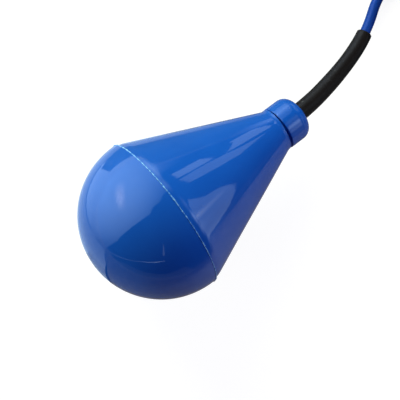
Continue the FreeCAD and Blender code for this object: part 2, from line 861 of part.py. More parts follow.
parts = {name: laid_down(shape) for name, shape in in_float.items()}
parts["strain_relief_boot"] = strain_relief_boot(cable_path).cut(outer_cable)
parts["cable"] = outer_cable
parts["cable_coil"] = cable_coil()
parts["coil_ties"] = coil_ties()
parts["cable_tail"] = tube(tail_points(), cable_radius, "cable tail")[0]
for core_index in range(core_count):
    parts["end_core_%d" % (core_index + 1)] = end_core(core_index)
    parts["ferrule_%d" % (core_index + 1)] = ferrule(core_index)

os.makedirs("parts", exist_ok=True)
for name, shape in parts.items():
    if not shape.isValid():
        print("not valid:", name)
    shape.exportStep("parts/" + name + ".step")

print("nodes", len(parts))
print("float's axis at the gland nut's mouth", [round(value, 2) for value in axis_point(nut_end_z)])
print("lever pin", [round(value, 3) for value in resting.multVec(Vector(lever_pin_offset, 0, lever_z))])
print("blade pivot", [round(value, 3) for value in resting.multVec(Vector(blade_pivot_offset, 0, blade_z))])
print("free end", free_end_frame()[:2])
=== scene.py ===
import math

import bmesh
import bpy
from mathutils import Matrix, Vector, noise


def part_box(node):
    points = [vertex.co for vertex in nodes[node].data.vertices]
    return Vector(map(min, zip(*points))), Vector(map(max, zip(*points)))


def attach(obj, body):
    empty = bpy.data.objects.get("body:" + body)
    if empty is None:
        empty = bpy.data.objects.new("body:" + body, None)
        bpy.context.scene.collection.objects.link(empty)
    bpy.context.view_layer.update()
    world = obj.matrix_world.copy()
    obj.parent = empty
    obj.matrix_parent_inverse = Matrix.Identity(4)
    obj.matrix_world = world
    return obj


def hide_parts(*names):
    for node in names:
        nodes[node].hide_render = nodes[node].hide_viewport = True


# A blue float level switch lying on a pale floor, seen from straight above. The float's shells, the gland
# nut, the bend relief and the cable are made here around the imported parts, and everything else is the
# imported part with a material. Metres in the row frame: +X runs from nose to gland, +Z is up. Profiles
# turned about the float's axis are in millimetres along that axis, as (radius, height) from the nose centre.

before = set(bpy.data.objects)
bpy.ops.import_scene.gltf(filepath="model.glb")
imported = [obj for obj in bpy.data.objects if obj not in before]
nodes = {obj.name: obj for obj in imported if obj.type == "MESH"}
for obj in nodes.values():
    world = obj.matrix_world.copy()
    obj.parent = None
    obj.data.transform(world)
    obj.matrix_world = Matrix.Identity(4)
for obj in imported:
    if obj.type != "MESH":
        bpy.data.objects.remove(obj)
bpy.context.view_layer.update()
BODY = "float"
MM = 0.001

# --- the float's sizes, in millimetres -------------------------------------------------------------
NOSE_RADIUS = 50.0
SHELL_WALL = 3.0
RIM_Z = 1.4
DIP = 13.0                   # degrees; the float's axis dips towards the gland
SPIGOT_HEIGHT = 4.0
SPIGOT_WALL = 1.8
SPIGOT_CLEARANCE = 0.1
SPIGOT_ROOT = 8.0
PLATE_THICKNESS = 2.5        # of the plate clamped between the two shells
SHOULDER_STEP = 1.0
SHOULDER_HEIGHT = 2.7
SHOULDER_ROUNDING = 13.0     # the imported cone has 1.0
CONE_HEIGHT = 84.2
CONE_TOP_RADIUS = 14.2
CONE_TOP_BLEND = 5.0
TOP_BAND_HEIGHT = 1.5
TOP_FACE_SLANT = 4.2         # degrees
TOP_FACE_ROUNDING = 0.25
RIB_Z = 60.0
RIB_HEIGHT = 3.0
RIB_BORE_RADIUS = 12.0
HOLLOW_END_Z = 84.0
THROAT_RADIUS = 4.0
SEAL_POCKET_RADIUS = 7.0
SEAL_POCKET_DEPTH = 11.5
NECK_RADIUS = 11.4
NECK_LENGTH = 11.9
NECK_ROUNDING = 0.5
THREAD_CLEARANCE = 0.1
NUT_RADIUS = 14.3
NUT_BORE_RADIUS = 6.0
NUT_LENGTH = 16.5
NUT_GAP = 0.2
NUT_MOUTH_ROUNDING = 0.4
NUT_END_ROUNDING = 7.0
NUT_BORE_ROUNDING = 0.25
LIP_Z = 104.7                # the inner face of the nut's end wall
BOOT_RADIUS = 5.8
BOOT_TIP_RADIUS = 4.9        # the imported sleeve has 4.6
BOOT_TIP_EDGE = 0.2
BOOT_LENGTH = 70.0
BOOT_FLANGE_RADIUS = 10.5
BOOT_FLANGE_Z = 102.9
BOOT_BORE_RADIUS = 3.42
CABLE_RADIUS = 3.4
CABLE_START_Z = 92.2
CABLE_STRAIGHT = 6.5         # past the nut, before the cable's first bend
BEAD_SIZE = 0.31
NOSE_WAVE = 0.05             # how far each surface strays from true
CONE_WAVE = 0.06
BOOT_WAVE = 0.09

shell_bore_radius = NOSE_RADIUS - SHOULDER_STEP - SHELL_WALL
spigot_radius = shell_bore_radius - SPIGOT_CLEARANCE
spigot_end_z = RIM_Z + SPIGOT_HEIGHT
plate_top_z = spigot_end_z + PLATE_THICKNESS
cone_base_radius = NOSE_RADIUS - SHOULDER_STEP
cone_base_z = RIM_Z + SHOULDER_HEIGHT
cone_top_z = cone_base_z + CONE_HEIGHT
cone_slope = (cone_base_radius - CONE_TOP_RADIUS) / CONE_HEIGHT
top_face_z = cone_top_z + TOP_BAND_HEIGHT
neck_end_z = top_face_z + NECK_LENGTH
seal_pocket_z = neck_end_z - SEAL_POCKET_DEPTH
slant_rise = CONE_TOP_RADIUS * math.tan(math.radians(TOP_FACE_SLANT))
nut_z = top_face_z + slant_rise + NUT_GAP
nut_end_z = nut_z + NUT_LENGTH
cable_first_bend_z = nut_end_z + CABLE_STRAIGHT

nose_low, nose_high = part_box("nose_shell")
nose_centre = Vector((nose_low.x + NOSE_RADIUS * MM, 0, nose_high.z - NOSE_RADIUS * MM))
along_float = Matrix.Rotation(math.radians(90 + DIP), 4, "Y")
float_place = Matrix.Translation(nose_centre) @ along_float @ Matrix.Scale(MM, 4)


def axis_point(z):
    """A point on the float's axis, in metres."""
    return float_place @ Vector((0, 0, z))


# --- materials -------------------------------------------------------------------------------------
def linear(red, green, blue):
    """An sRGB colour of 0 to 255 as a linear colour."""
    parts = [v / 255 for v in (red, green, blue)]
    return [((v + 0.055) / 1.055) ** 2.4 if v > 10 / 255 else v / 12.92 for v in parts] + [1.0]


def node(tree, kind, links=(), **values):
    """A new node. links are (input, socket) pairs; values set inputs by name, or properties."""
    made = tree.nodes.new(kind)
    for key, value in values.items():
        name = key.replace("_", " ").title()
        if hasattr(made, key):
            setattr(made, key, value)
        else:
            made.inputs[name].default_value = value
    for name, socket in links:
        tree.links.new(made.inputs[name], socket)
    return made


def new_material(name):
    made = bpy.data.materials.new(name)
    made.use_nodes = True
    tree = made.node_tree
    return made, tree, tree.nodes["Principled BSDF"]


def grain(tree, scale, detail=3.0, stretch=None):
    """Noise in the object's own space. scale is per metre; stretch squeezes it along each axis."""
    place = tree.nodes.new("ShaderNodeTexCoord").outputs["Object"]
    if stretch:
        place = node(tree, "ShaderNodeMapping", [("Vector", place)], Scale=stretch).outputs["Vector"]
    return node(tree, "ShaderNodeTexNoise", [("Vector", place)], Scale=scale, Detail=detail).outputs["Fac"]


def shares(tree, value, low, high, from_low=0.3, from_high=0.7):
    """The value's middle part spread out between low and high."""
    made = tree.nodes.new("ShaderNodeMapRange")
    for name, number in (("From Min", from_low), ("From Max", from_high), ("To Min", low), ("To Max", high)):
        made.inputs[name].default_value = number
    tree.links.new(made.inputs["Value"], value)
    return made.outputs["Result"]


def two_colours(tree, factor, first, second):
    made = tree.nodes.new("ShaderNodeMix")
    made.data_type = "RGBA"
    tree.links.new(made.inputs["Factor"], factor)
    for name, colour in (("A", first), ("B", second)):
        socket = [s for s in made.inputs if s.name == name and s.type == "RGBA"][0]
        if isinstance(colour, bpy.types.NodeSocket):
            tree.links.new(socket, colour)
        else:
            socket.default_value = colour
    return [s for s in made.outputs if s.type == "RGBA"][0]


def bump(tree, shader, height, distance, strength=1.0):
    made = tree.nodes.new("ShaderNodeBump")
    made.inputs["Distance"].default_value = distance
    made.inputs["Strength"].default_value = strength
    tree.links.new(made.inputs["Height"], height)
    tree.links.new(shader.inputs["Normal"], made.outputs["Normal"])


def surface(name, colour, roughness, spread=0.12, cloud=60.0, fine=900.0, relief=0.00002, metallic=0.0,
            stretch=None):
    """A material with cloudy colour, uneven roughness and a fine grain. roughness is (low, high)."""
    made, tree, shader = new_material(name)
    base = linear(*colour)
    darker = [v * (1 - spread) for v in base[:3]] + [1.0]
    lighter = [min(1.0, v * (1 + spread)) for v in base[:3]] + [1.0]
    clouds = grain(tree, cloud, 4.0)
    specks = grain(tree, fine, 2.0, stretch)
    colour = two_colours(tree, shares(tree, clouds, 0, 1), darker, lighter)
    tree.links.new(shader.inputs["Base Color"], colour)
    tree.links.new(shader.inputs["Roughness"], shares(tree, specks, *roughness))
    shader.inputs["Metallic"].default_value = metallic
    bump(tree, shader, specks, relief)
    return made


def striped(name, centre, first, second):
    """Two-colour insulation, one colour on each side of a level plane through its centre."""
    made, tree, shader = new_material(name)
    place = tree.nodes.new("ShaderNodeTexCoord").outputs["Object"]
    height = node(tree, "ShaderNodeSeparateXYZ", [("Vector", place)]).outputs["Z"]
    side = shares(tree, height, 0, 1, centre.z + 0.00005, centre.z + 0.00015)
    tree.links.new(shader.inputs["Base Color"], two_colours(tree, side, linear(*first), linear(*second)))
    specks = grain(tree, 1500.0)
    tree.links.new(shader.inputs["Roughness"], shares(tree, specks, 0.35, 0.5))
    bump(tree, shader, specks, 0.00001)
    return made


def float_plastic():
    """Glossy moulded plastic with faint clouds, fine handling marks and a little dust."""
    made, tree, shader = new_material("float_plastic")
    clouds = grain(tree, 35.0, 3.0)
    colour = two_colours(tree, shares(tree, clouds, 0, 1), linear(16, 81, 180), linear(20, 87, 187))
    tree.links.new(shader.inputs["Base Color"], colour)
    hairlines = grain(tree, 140.0, 6.0, (1.0, 9.0, 1.0))
    tree.links.new(shader.inputs["Roughness"], shares(tree, hairlines, 0.02, 0.05, 0.35, 0.75))
    shader.inputs["IOR"].default_value = 1.5
    bump(tree, shader, grain(tree, 420.0, 2.0), 0.000004)
    return made


def bead_plastic():
    """The weld bead's plastic, lumpy, with a paler colour that is painted highlight along the seam."""
    made, tree, shader = new_material("bead_plastic")
    lumps = grain(tree, 700.0, 3.0)
    # The paler blue mixed in where the lumps rise is painted highlight for the bright line along the seam,
    # not the plastic's own colour.
    painted_highlight = shares(tree, lumps, 0, 1, 0.40, 0.62)
    colour = two_colours(tree, painted_highlight, linear(44, 112, 196), linear(140, 200, 244))
    tree.links.new(shader.inputs["Base Color"], colour)
    tree.links.new(shader.inputs["Roughness"], shares(tree, lumps, 0.45, 0.3))
    bump(tree, shader, lumps, 0.00015)
    return made


def rubber():
    """Near-black rubber with a fine grain and a few pale scuffs."""
    made, tree, shader = new_material("boot_rubber")
    scuff = shares(tree, grain(tree, 160.0, 8.0, (1.0, 1.0, 2.5)), 0, 1, 0.66, 0.74)
    clouds = two_colours(tree, grain(tree, 50.0), linear(17, 14, 13), linear(24, 20, 19))
    tree.links.new(shader.inputs["Base Color"], two_colours(tree, scuff, clouds, linear(70, 70, 70)))
    fine = grain(tree, 1800.0, 2.0)
    tree.links.new(shader.inputs["Roughness"], shares(tree, fine, 0.34, 0.5))
    shader.inputs["Specular IOR Level"].default_value = 0.2
    shader.inputs["Specular Tint"].default_value = (1.0, 0.84, 0.68, 1)
    bump(tree, shader, fine, 0.00003)
    return made


def sheath():
    """Satin blue sheath: fine drawn grain and soft changes of shade."""
    made, tree, shader = new_material("cable_sheath")
    clouds = grain(tree, 90.0, 3.0)
    colour = two_colours(tree, shares(tree, clouds, 0, 1), linear(9, 47, 124), linear(12, 56, 140))
    tree.links.new(shader.inputs["Base Color"], colour)
    fine = grain(tree, 1300.0, 3.0)
    tree.links.new(shader.inputs["Roughness"], shares(tree, fine, 0.34, 0.5))
    shader.inputs["Specular IOR Level"].default_value = 0.25
    bump(tree, shader, fine, 0.000025)
    return made


def give(made, *names):
    """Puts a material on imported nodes."""
    for name in names:
        for place in nodes[name].material_slots:
            place.material = made


blue = float_plastic()
cable_blue = sheath()
black = rubber()
tie_black = surface("tie_plastic", (26, 26, 28), (0.35, 0.5))
tinned = surface("tinned_metal", (196, 198, 200), (0.22, 0.4), metallic=1.0, fine=1600.0)
zinc = surface("zinc_steel", (182, 184, 186), (0.25, 0.45), spread=0.2, metallic=1.0, fine=700.0)
natural = surface("natural_plastic", (214, 211, 198), (0.4, 0.55), spread=0.05)
iron = surface("cast_iron", (70, 70, 72), (0.5, 0.75), spread=0.3, metallic=0.8, fine=500.0, relief=0.0001)
polished = surface("bearing_steel", (205, 206, 208), (0.06, 0.12), spread=0.03, metallic=1.0, relief=0.000002)
thermoset = surface("black_plastic", (24, 24, 26), (0.4, 0.55))
red = surface("red_plastic", (166, 24, 20), (0.25, 0.35), spread=0.06)
brass = surface("brass", (200, 160, 84), (0.2, 0.35), metallic=1.0, fine=600.0, stretch=(1.0, 8.0, 1.0))
resin = surface("resin", (140, 106, 46), (0.1, 0.2), spread=0.2)
brown = surface("core_brown", (88, 46, 22), (0.35, 0.5), fine=1500.0)
core_blue = surface("core_blue", (20, 66, 160), (0.35, 0.5), fine=1500.0)


def middle(name):
    low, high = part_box(name)
    return (low + high) / 2


give(tie_black, "coil_ties")
give(black, "cable_seal", "lid_o_ring")
give(cable_blue, "inner_cable")
give(brown, "end_core_1", "inner_core_common")
give(core_blue, "end_core_2", "inner_core_open")
for yellow in ("end_core_3", "inner_core_closed"):
    give(striped("stripes_" + yellow, middle(yellow), (44, 120, 48), (206, 186, 30)), yellow)
give(tinned, "ferrule_1", "ferrule_2", "ferrule_3")
give(zinc, "thrust_washer", "ballast_screws", "lid_screws", "switch_screws", "cable_grip_screw", "lever_pin")
give(natural, "support_plate", "switch_capsule", "capsule_lid", "ball_race", "switch_carrier",
     "cable_grip_ring")
give(iron, "ballast_ring")
give(polished, "steel_ball", "switch_lever")
give(thermoset, "switch_base", "switch_cover")
give(red, "switch_plunger")
give(brass, "terminal_common", "terminal_open", "terminal_closed", "snap_blade")
give(resin, "potting_resin")


# --- turned pieces ---------------------------------------------------------------------------------
def arc(centre, radius, start, end, steps):
    """Points round (radius, height) centre from one angle to another, in degrees."""
    angles = [math.radians(start + (end - start) * index / steps) for index in range(steps + 1)]
    return [(centre[0] + radius * math.cos(a), centre[1] + radius * math.sin(a)) for a in angles]


def rounded(corners, steps=8):
    """A closed outline through (radius, height[, rounding]) corners, with the roundings as arcs."""
    points = [Vector(corner[:2]) for corner in corners]
    outline = []
    for index, corner in enumerate(corners):
        here, before, after = points[index], points[index - 1], points[(index + 1) % len(points)]
        if len(corner) < 3:
            outline.append(tuple(here))
            continue
        inward, onward = (here - before).normalized(), (after - here).normalized()
        half_turn = inward.angle(onward) / 2
        reach = corner[2] * math.tan(half_turn)
        centre = here + (onward - inward).normalized() * (corner[2] / math.cos(half_turn))
        start, end = here - inward * reach - centre, here + onward * reach - centre
        first = math.atan2(start.y, start.x)
        sweep = math.remainder(math.atan2(end.y, end.x) - first, 2 * math.pi)
        for step in range(steps + 1):
            angle = first + sweep * step / steps
            outline.append((centre.x + corner[2] * math.cos(angle), centre.y + corner[2] * math.sin(angle)))
    return outline


def refined(outline, longest):
    """The outline with its long runs divided, so that a surface can wave a little."""
    points = []
    for start, end in zip(outline, outline[1:] + outline[:1]):
        run = math.dist(start, end)
        count = max(1, math.ceil(run / longest))
        points += [(start[0] + (end[0] - start[0]) * k / count, start[1] + (end[1] - start[1]) * k / count)
                   for k in range(count)]
    return points


def finished(name, mesh, material, replaces=()):
    """A piece of the float from a mesh in millimetres about the float's axis."""
    mesh.transform(float_place)
    return placed(name, mesh, material, replaces)


def placed(name, mesh, material, replaces=()):
    """A piece from a mesh in the row frame."""
    mesh.materials.append(material)
    mesh.shade_smooth()
    mesh.set_sharp_from_angle(angle=math.radians(35))
    piece = bpy.data.objects.new(name, mesh)
    bpy.context.scene.collection.objects.link(piece)
    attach(piece, BODY)
    if replaces:
        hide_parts(*replaces)
    return piece


def skinned(name, rings):
    """A closed skin over rings of places. A ring of one place is a pole."""
    shape = bmesh.new()
    rows = [[shape.verts.new(place) for place in ring] for ring in rings]
    for near, far in zip(rows, rows[1:] + rows[:1]):
        if len(near) == 1 and len(far) == 1:
            continue
        for index in range(max(len(near), len(far))):
            corners = [near[index % len(near)], near[(index + 1) % len(near)],
                       far[(index + 1) % len(far)], far[index % len(far)]]
            shape.faces.new(list(dict.fromkeys(corners)))
    bmesh.ops.recalc_face_normals(shape, faces=shape.faces)
    mesh = bpy.data.meshes.new(name)
    shape.to_mesh(mesh)
    shape.free()
    return mesh


def turned(outline, segments=320, shift=None):
    """A mesh turned about Z from an outline whose ends may lie on the axis. shift moves each point."""
    rings = []
    for radius, height in outline:
        ring = []
        for index in range(segments if radius > 1e-6 else 1):
            angle = 2 * math.pi * index / segments
            point = Vector((radius * math.cos(angle), radius * math.sin(angle), height))
            ring.append(shift(point) if shift else point)
        rings.append(ring)
    return skinned("turned", rings)


# --- the nose half ---------------------------------------------------------------------------------
def nose_wave(point):
    """The moulded ball isn't quite true: it waves by a few hundredths of a millimetre."""
    outward = point.normalized()
    if point.length < NOSE_RADIUS - 1 or point.z > 0:
        return point
    return point + outward * NOSE_WAVE * noise.noise(point * 0.045 + Vector((3.1, 0.7, 5.2)))


inside = NOSE_RADIUS - SHELL_WALL
root_angle = math.degrees(math.asin(SPIGOT_ROOT / inside))
spigot = [(spigot_radius, RIM_Z), (spigot_radius, spigot_end_z),
          (spigot_radius - SPIGOT_WALL, spigot_end_z), (spigot_radius - SPIGOT_WALL, 0)]
nose_outline = (arc((0, 0), NOSE_RADIUS, -90, 0, 90) + [(NOSE_RADIUS, RIM_Z)] + spigot
                + arc((0, 0), inside, -root_angle, -90, 30))
nose_outline[0] = (0, -NOSE_RADIUS)
nose_outline[-1] = (0, -inside)
finished("nose_half", turned(nose_outline, shift=nose_wave), blue, ["nose_shell"])


# --- the weld bead ---------------------------------------------------------------------------------
def weld_bead():
    """A thin uneven bead of melted plastic round the seam."""
    around, across = 900, 10
    rings = []
    for index in range(around):
        angle = 2 * math.pi * index / around
        outward = Vector((math.cos(angle), math.sin(angle), 0))
        slow = noise.noise(outward * 6 + Vector((0, 0, 2.3)))
        quick = noise.noise(outward * 34 + Vector((0, 0, 7.1)))
        lump = max(0.0, noise.noise(outward * 62 + Vector((0, 0, 4.4))) - 0.25)
        size = BEAD_SIZE + 0.08 * slow + 0.10 * quick + 0.45 * lump
        middle_radius, middle_z = NOSE_RADIUS - 0.02 + 0.05 * quick, RIM_Z - 0.15 + 0.10 * slow
        turns = [2 * math.pi * side / across for side in range(across)]
        rings.append([outward * (middle_radius + size * math.cos(turn))
                      + Vector((0, 0, middle_z + size * math.sin(turn))) for turn in turns])
    return skinned("weld_bead", rings)


finished("weld_bead", weld_bead(), bead_plastic())


# --- the cone half ---------------------------------------------------------------------------------
def cone_radius(z):
    """The cone's outer radius at a height."""
    return cone_base_radius - cone_slope * (z - cone_base_z)


def hollow_radius(z):
    """The radius of the cone's hollow at a height; the wall is measured square to the slope."""
    return cone_radius(z) - SHELL_WALL * math.hypot(1, cone_slope)


def cone_shift(point):
    """Slants the top band's end face and lets the cone's outside wave a little."""
    radius = math.hypot(point.x, point.y)
    if radius > NECK_RADIUS - 0.01 and top_face_z - 0.5 < point.z < top_face_z + 0.01:
        return point + Vector((0, 0, point.y * math.tan(math.radians(TOP_FACE_SLANT))))
    if cone_base_z < point.z < cone_top_z and abs(radius - cone_radius(point.z)) < 0.5:
        outward = Vector((point.x, point.y, 0)).normalized()
        return point + outward * CONE_WAVE * noise.noise(point * 0.05 + Vector((1.7, 8.2, 0.4)))
    return point


rib_top_z = RIB_Z + RIB_HEIGHT
cone_outline = refined(rounded([
    (shell_bore_radius, RIM_Z), (cone_base_radius, RIM_Z),
    (cone_base_radius, cone_base_z, SHOULDER_ROUNDING), (CONE_TOP_RADIUS, cone_top_z, CONE_TOP_BLEND),
    (CONE_TOP_RADIUS, top_face_z, TOP_FACE_ROUNDING), (NECK_RADIUS, top_face_z),
    (NECK_RADIUS, neck_end_z, NECK_ROUNDING), (SEAL_POCKET_RADIUS, neck_end_z),
    (SEAL_POCKET_RADIUS, seal_pocket_z), (THROAT_RADIUS, seal_pocket_z),
    (THROAT_RADIUS, HOLLOW_END_Z), (hollow_radius(HOLLOW_END_Z), HOLLOW_END_Z),
    (hollow_radius(rib_top_z), rib_top_z), (RIB_BORE_RADIUS, rib_top_z),
    (RIB_BORE_RADIUS, RIB_Z), (hollow_radius(RIB_Z), RIB_Z),
    (hollow_radius(plate_top_z), plate_top_z), (shell_bore_radius, plate_top_z),
]), 2.5)
finished("cone_half", turned(cone_outline, shift=cone_shift), blue, ["cone_shell"])

# --- the gland nut ---------------------------------------------------------------------------------
thread_radius = NECK_RADIUS + THREAD_CLEARANCE
nut_outline = refined(rounded([
    (thread_radius, nut_z), (NUT_RADIUS, nut_z, NUT_MOUTH_ROUNDING),
    (NUT_RADIUS, nut_end_z, NUT_END_ROUNDING), (NUT_BORE_RADIUS, nut_end_z, NUT_BORE_ROUNDING),
    (NUT_BORE_RADIUS, LIP_Z), (thread_radius, LIP_Z),
], 14), 2.0)
finished("gland_collar", turned(nut_outline, 200), blue, ["gland_nut"])


# --- the cable -------------------------------------------------------------------------------------
# The route's points are listed; the coil's are worked out turn by turn.
CABLE_ROUTE = [
    (0.1081, 0.0041, 0.0177),
    (0.1307, 0.0101, 0.0122),
    (0.1486, 0.0184, 0.0076),
    (0.1642, 0.0295, 0.0034),
    (0.1910, 0.0383, 0.0034),
]
TAIL_ROUTE = [
    (0.2580, -0.0400, 0.0215),
    (0.2352, -0.0576, 0.0105),
    (0.2019, -0.0647, 0.0034),
    (0.1679, -0.0659, 0.0034),
]
COIL_CENTRE = Vector((0.226, 0, 0))
COIL_MID_RADIUS = 0.0385
COIL_BASE_Z = 0.001
COIL_COLUMNS = [2, 1, 0, 0, 1, 2] * 2
COLUMNS = 3
TAIL_LEAVES_AT = -20.0
COIL_POINTS = 182
CHANGE_FROM = 0.8            # of each turn; the cable then moves to its next place
RISE_BULGE = 0.0026
cable_diameter = 2 * CABLE_RADIUS * MM


def turn_place(turn):
    """Radius and height of a turn's centreline."""
    column, layer = COIL_COLUMNS[turn], turn // COLUMNS
    return (COIL_MID_RADIUS + (column - 1) * cable_diameter,
            COIL_BASE_Z + (layer + 0.5) * cable_diameter)


def coil_points():
    """Points round the tied coil, clockwise from where the cable meets it to where its tail leaves."""
    outer = turn_place(0)[0]
    last = Vector(CABLE_ROUTE[-1]) - COIL_CENTRE
    flat = math.hypot(last.x, last.y)
    touch = math.degrees(math.atan2(last.y, last.x)) - math.degrees(math.acos(outer / flat))
    swept = 360 * (len(COIL_COLUMNS) - 1) + touch - TAIL_LEAVES_AT
    step = swept / COIL_POINTS
    points = []
    for index in range(COIL_POINTS):
        turns = step * (index + 0.5) / 360
        turn = int(turns)
        radius, height = turn_place(turn)
        late = (turns - turn - CHANGE_FROM) / (1 - CHANGE_FROM)
        if late > 0 and turn + 1 < len(COIL_COLUMNS):
            next_radius, next_height = turn_place(turn + 1)
            eased = late * late * (3 - 2 * late)
            if COIL_COLUMNS[turn] == COIL_COLUMNS[turn + 1]:
                outward = 1 if COIL_COLUMNS[turn] else -1
                radius += outward * RISE_BULGE * math.sin(math.pi * late)
            else:
                radius += (next_radius - radius) * eased
            height += (next_height - height) * eased
        angle = math.radians(touch - 360 * turns)
        radius /= math.cos(math.radians(step / 2))
        points.append((COIL_CENTRE.x + radius * math.cos(angle), COIL_CENTRE.y + radius * math.sin(angle),
                       height))
    return points


def nurbs(name, points, bevel=0.0):
    curve = bpy.data.curves.new(name, "CURVE")
    curve.dimensions = "3D"
    spline = curve.splines.new("NURBS")
    spline.points.add(len(points) - 1)
    for place, point in zip(spline.points, points):
        place.co = (*point, 1)
    spline.order_u = 3
    spline.use_endpoint_u = True
    spline.resolution_u = 8
    curve.resolution_u = 8
    curve.bevel_depth = bevel
    curve.bevel_resolution = 6
    curve.use_fill_caps = True
    made = bpy.data.objects.new(name, curve)
    bpy.context.scene.collection.objects.link(made)
    return made


route = [axis_point(CABLE_START_Z), axis_point(cable_first_bend_z)]
route += CABLE_ROUTE + coil_points() + TAIL_ROUTE
cord = nurbs("supply_cable", route, CABLE_RADIUS * MM)
cord.data.materials.append(cable_blue)
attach(cord, BODY)
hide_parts("cable", "cable_coil", "cable_tail")


# --- the bend relief -------------------------------------------------------------------------------
def centreline():
    """Points along the cable's line, read from its curve."""
    guide = nurbs("guide", route)
    guide.data.use_fill_caps = False
    guide.data.splines[0].resolution_u = 24
    guide.data.resolution_u = 24
    bpy.context.view_layer.update()
    line = bpy.data.meshes.new_from_object(guide)
    points = [v.co.copy() for v in line.vertices]
    bpy.data.meshes.remove(line)
    bpy.data.objects.remove(guide)
    return points


def station(points, distance):
    """The place and direction that far along the points."""
    for start, end in zip(points, points[1:]):
        run = (end - start).length
        if distance <= run:
            return start.lerp(end, distance / run), (end - start).normalized()
        distance -= run
    return points[-1], (points[-1] - points[-2]).normalized()


def boot_wave(distance, angle):
    """The sleeve's outside is a little uneven."""
    place = Vector((math.cos(angle) * 0.8, math.sin(angle) * 0.8, distance * 0.06))
    return BOOT_WAVE * noise.noise(place + Vector((5.0, 1.0, 2.0)))


def boot_outline(mouth, tip):
    """The sleeve's section, as (distance along the cable, radius)."""
    steps, bore_steps = 60, 30
    flange, lip = BOOT_FLANGE_Z - CABLE_START_Z, LIP_Z - CABLE_START_Z
    taper = BOOT_TIP_RADIUS - BOOT_RADIUS
    run = tip - BOOT_TIP_EDGE - mouth
    outline = [(flange, BOOT_FLANGE_RADIUS), (lip, BOOT_FLANGE_RADIUS), (lip, BOOT_RADIUS)]
    outline += [(mouth + run * k / steps, BOOT_RADIUS + taper * k / steps) for k in range(steps + 1)]
    outline += [(tip - BOOT_TIP_EDGE / 4, BOOT_TIP_RADIUS - BOOT_TIP_EDGE / 4),
                (tip, BOOT_TIP_RADIUS - BOOT_TIP_EDGE), (tip, BOOT_BORE_RADIUS)]
    outline += [(mouth + (tip - mouth) * (1 - k / bore_steps), BOOT_BORE_RADIUS)
                for k in range(1, bore_steps + 1)]
    return outline + [(flange, BOOT_BORE_RADIUS)]


def boot():
    """A sleeve that tapers along the cable from a flange under the nut to a square-cut end."""
    points, segments = centreline(), 64
    mouth = nut_end_z - CABLE_START_Z
    tip = mouth + BOOT_LENGTH
    rings = []
    for distance, radius in boot_outline(mouth, tip):
        place, ahead = station(points, distance * MM)
        side = ahead.cross(Vector((0, 0, 1))).normalized()
        rise = side.cross(ahead)
        uneven = mouth < distance < tip - 1 and radius > BOOT_BORE_RADIUS
        ring = []
        for index in range(segments):
            angle = 2 * math.pi * index / segments
            reach = (radius + (boot_wave(distance, angle) if uneven else 0)) * MM
            ring.append(place + side * reach * math.cos(angle) + rise * reach * math.sin(angle))
        rings.append(ring)
    return skinned("boot", rings)


sleeve = placed("bend_relief", boot(), black, ["strain_relief_boot"])

# --- floor, light and camera -----------------------------------------------------------------------
FLOOR_SIZE = 6.0
VIEW_TURN = 36.84            # degrees; the picture's right is this far clockwise from +X
CAMERA_ABOVE = 0.6           # over the nose's centre
CAMERA_RIGHT = 0.02282
CAMERA_UP = 0.00918
LENS = 90.54
SENSOR = 36
AMBIENT = 0.17
CEILING = 1.0
FAR = 2.4                    # distance of the walls
NEAR = 0.25                  # distance of the small lights from the shoulder and the nut
SHEET_LIFT = 0.001
MAT_LIFT = 0.002
SKY = (0.45, 0.68, 1.0)
SKY_GLOW = (0.9, 4.2)        # at the sky's rim and at its heart
SKY_HEART = (148, 0.45)      # bearing and height of its brightest place
PALE_BLUE = (0.62, 0.84, 1.0)
SHAPE_GLOW = 1.95
right = Vector((math.cos(math.radians(VIEW_TURN)), -math.sin(math.radians(VIEW_TURN)), 0))
up = Vector((-right.y, right.x, 0))


def lit_by_ray(tree, plain, seen, mirrored, clear):
    """Chooses a shader by the kind of ray: camera, mirrored or seen through; plain for all others."""
    rays = tree.nodes.new("ShaderNodeLightPath").outputs
    chosen = plain
    kinds = (("Is Transmission Ray", clear), ("Is Glossy Ray", mirrored), ("Is Camera Ray", seen))
    for kind, shader in kinds:
        chosen = node(tree, "ShaderNodeMixShader", [(0, rays[kind]), (1, chosen), (2, shader)]).outputs[0]
    return chosen


def floor():
    """A floor that looks near white to the camera, grey in mirrors, and keeps a soft shadow."""
    bpy.ops.mesh.primitive_plane_add(size=FLOOR_SIZE)
    plane = bpy.context.object
    plane.name = "floor"
    made, tree, shader = new_material("floor")
    shader.inputs["Base Color"].default_value = (0.20, 0.20, 0.20, 1)
    shader.inputs["Roughness"].default_value = 0.9
    sums = []
    for strength in (0.91, 0.07):
        glow = node(tree, "ShaderNodeEmission", Strength=strength)
        added = tree.nodes.new("ShaderNodeAddShader")
        tree.links.new(added.inputs[0], shader.outputs[0])
        tree.links.new(added.inputs[1], glow.outputs[0])
        sums.append(added.outputs[0])
    chosen = lit_by_ray(tree, shader.outputs[0], sums[0], sums[1], sums[0])
    tree.links.new(tree.nodes["Material Output"].inputs["Surface"], chosen)
    plane.data.materials.append(made)


def surround():
    """The room: white to the camera, bluish on the object, and nearly dark in mirrors."""
    world = bpy.data.worlds.new("studio")
    bpy.context.scene.world = world
    world.use_nodes = True
    tree = world.node_tree
    room = tree.nodes["Background"]
    room.inputs["Color"].default_value = (0.58, 0.47, 1.0, 1)
    room.inputs["Strength"].default_value = AMBIENT
    white = node(tree, "ShaderNodeBackground", Color=(1, 1, 1, 1), Strength=1.0)
    place = tree.nodes.new("ShaderNodeTexCoord").outputs["Generated"]
    height = node(tree, "ShaderNodeSeparateXYZ", [("Vector", place)]).outputs["Z"]
    dim = node(tree, "ShaderNodeBackground", [("Strength", shares(tree, height, 0.04, 0.024, 0.05, 0.10))],
               Color=(1, 1, 1, 1))
    chosen = lit_by_ray(tree, room.outputs[0], white.outputs[0], dim.outputs[0], white.outputs[0])
    tree.links.new(tree.nodes["World Output"].inputs["Surface"], chosen)


